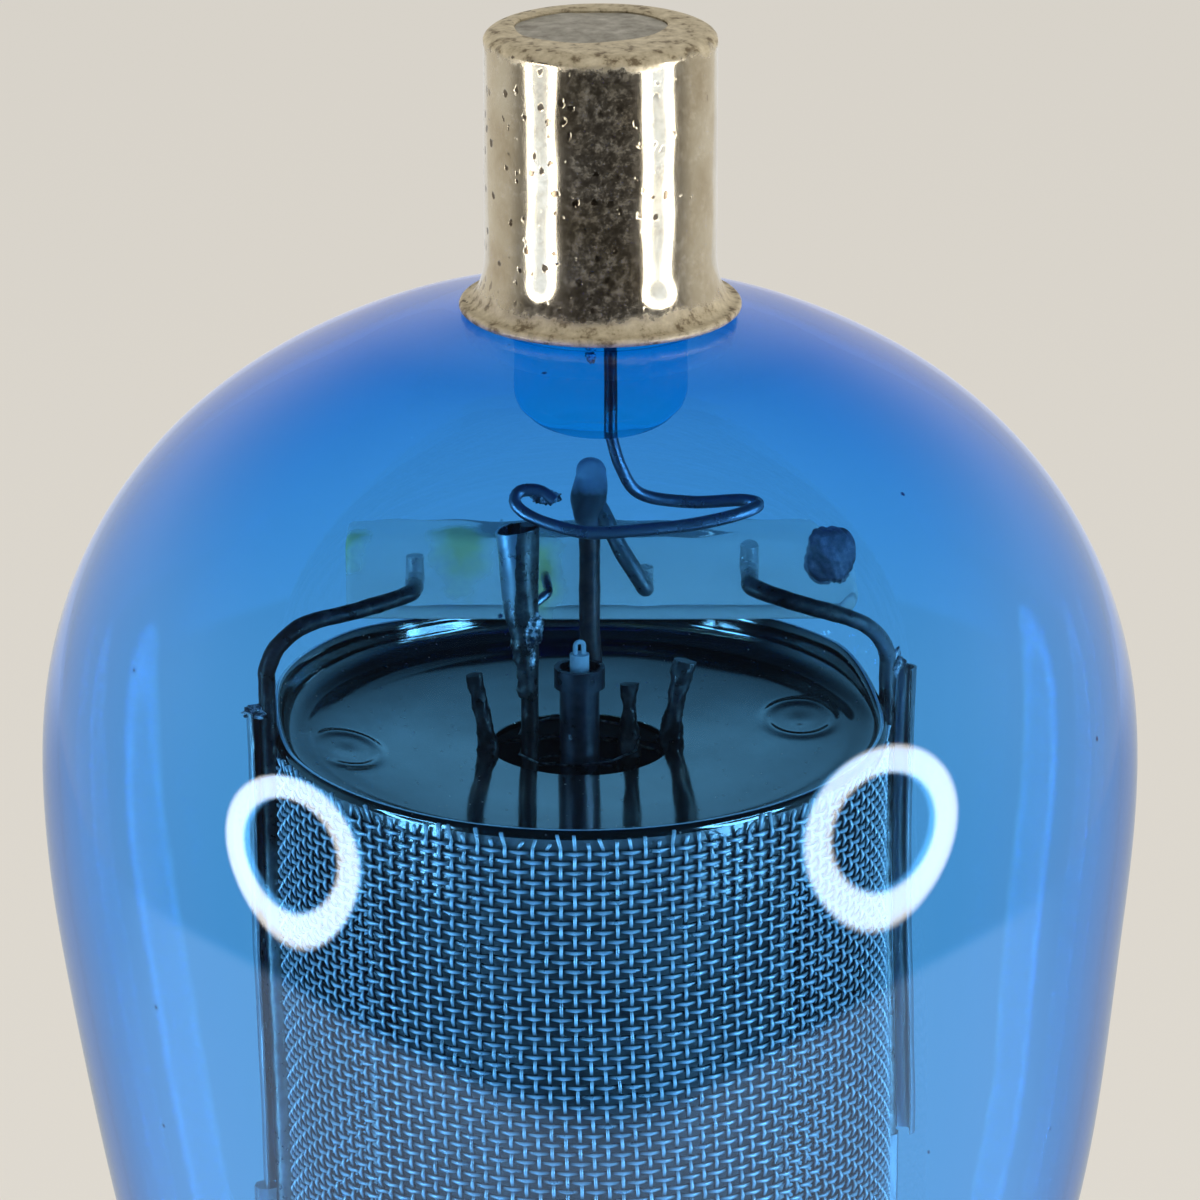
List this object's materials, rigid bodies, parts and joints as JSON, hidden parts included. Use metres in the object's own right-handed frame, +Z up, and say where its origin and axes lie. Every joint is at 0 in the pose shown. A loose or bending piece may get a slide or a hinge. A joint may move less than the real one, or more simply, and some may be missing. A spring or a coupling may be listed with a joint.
{
  "type": "tetrode vacuum tube",
  "caption": "Screen-grid tetrode tube with a clear blue glass bulb, a metal top cap, an open view of the woven outer screen, grids and cathode, and a moulded base with contact pins.",
  "frame": {"origin": "centre of the base, on the plane of the pin tips", "axes": "+Z up along the bulb's axis to the top cap; the electrodes' supports stand in the X-Z plane; -Y is the pictured side"},
  "size_m": [0.0434, 0.0434, 0.13],
  "materials": {
    "blue_glass": "clear blue glass, polished",
    "stem_glass": "clear glass",
    "bar_glass": "clear glass with faint stains",
    "bead_glass": "cloudy grey glass",
    "cap_nickel": "worn nickel plate with brown tarnish and pits",
    "solder": "dull grey solder",
    "cement": "matt cement",
    "moulding": "dark brown moulded shell, semi-gloss",
    "pin_nickel": "nickel plated brass, satin",
    "copper_wire": "tarnished copper wire",
    "lead_wire": "grey-brown nickel wire",
    "screen_nickel": "polished nickel sheet",
    "woven_wire": "bright woven wire",
    "support_metal": "nickel rod and strip",
    "plate_metal": "blackened sheet",
    "dark_wire": "dark oxidised wire",
    "grid_wire": "fine bright wire",
    "cathode_metal": "grey oxidised tube",
    "insulator": "white insulator",
    "lump": "fused grey-brown ash"
  },
  "bodies": {
    "root": {"bulb": "blue_glass", "glass_stem": "stem_glass", "top_cap": "cap_nickel", "cap_solder": "solder", "cap_cement": "cement", "base_shell": "moulding", "base_cement": "cement", "heater_pin_a": "pin_nickel", "heater_pin_b": "pin_nickel", "plate_pin": "pin_nickel", "screen_pin": "pin_nickel", "cathode_pin": "pin_nickel", "pin_solder": "solder", "heater_lead_a": "copper_wire", "heater_lead_b": "copper_wire", "plate_lead": "copper_wire", "screen_lead": "copper_wire", "cathode_lead": "copper_wire", "grid_lead": "lead_wire", "screen_lid": "screen_nickel", "screen_mesh": "woven_wire", "screen_bottom": "screen_nickel", "left_sleeve": "support_metal", "right_sleeve": "support_metal", "left_support": "support_metal", "right_support": "support_metal", "plate": "plate_metal", "left_plate_rod": "support_metal", "right_plate_rod": "support_metal", "inner_screen": "grid_wire", "left_screen_rod": "dark_wire", "right_screen_rod": "dark_wire", "control_grid": "grid_wire", "tall_post": "dark_wire", "short_post": "dark_wire", "post_sleeve": "support_metal", "cathode": "cathode_metal", "cathode_collar": "cathode_metal", "cathode_rod": "support_metal", "heater_insulator": "insulator", "heater": "insulator", "glass_bar": "bar_glass", "bar_lump": "lump", "left_stay": "dark_wire", "right_stay": "dark_wire", "centre_stay": "dark_wire", "stay_bead": "bead_glass", "bar_wire": "dark_wire", "post_loop": "dark_wire", "getter_cup": "support_metal", "getter_wire": "support_metal"}
  },
  "joints": []
}
